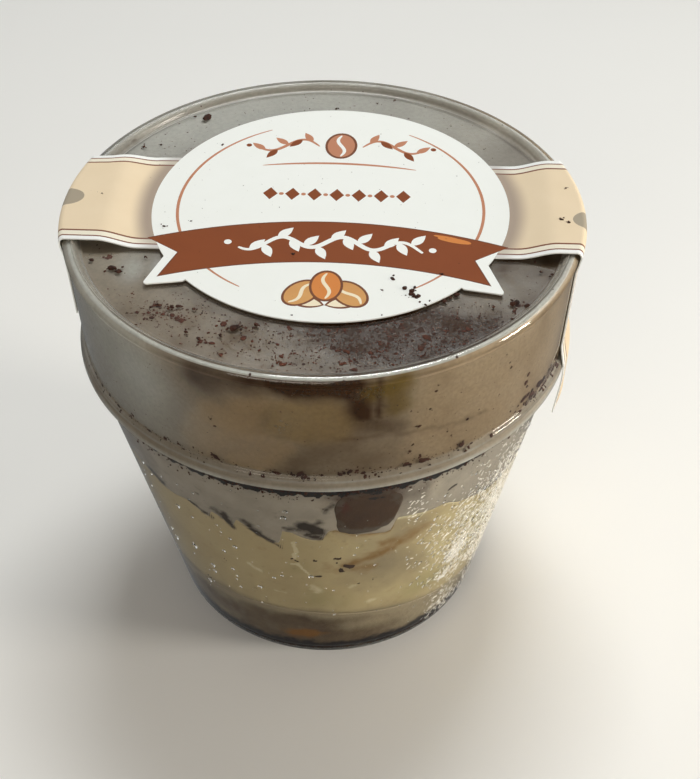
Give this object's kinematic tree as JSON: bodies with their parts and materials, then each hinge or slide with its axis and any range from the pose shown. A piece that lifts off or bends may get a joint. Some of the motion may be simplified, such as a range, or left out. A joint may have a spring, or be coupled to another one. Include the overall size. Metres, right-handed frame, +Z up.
{
  "type": "cup cake in a lidded cup",
  "caption": "Layered coffee-and-cream cup cake in a clear tapered cup, with a tall clear press-on lid and a paper sticker sealing it.",
  "frame": {"origin": "on the floor at the centre of the cup's foot ring", "axes": "+Z up along the cup's axis, -Y towards the front where the soaked sponge shows, +X to its right; the sticker's bands run along X"},
  "size_m": [0.101, 0.1, 0.0954],
  "materials": {
    "clear_cup": "clear moulded plastic, slightly misted by drops inside",
    "clear_lid": "clear moulded plastic, misted inside, with cocoa specks",
    "paper": "printed satin paper",
    "sponge": "damp porous sponge",
    "cream": "smooth whipped cream, satin",
    "coffee_sponge": "damp porous sponge and cream",
    "soaked_sponge": "coffee-soaked porous sponge",
    "cocoa": "damp cocoa powder over cream",
    "pale_cream": "smooth cream, satin"
  },
  "bodies": {
    "root": {"cup": "clear_cup", "lid": "clear_lid", "sticker": "paper", "base_sponge": "sponge", "cream_layer": "cream", "coffee_layer": "coffee_sponge", "soaked_sponge": "soaked_sponge", "dusted_top": "cocoa", "cream_lump_left": "pale_cream", "cream_lump_middle": "pale_cream", "cream_lump_right": "pale_cream"}
  },
  "joints": []
}
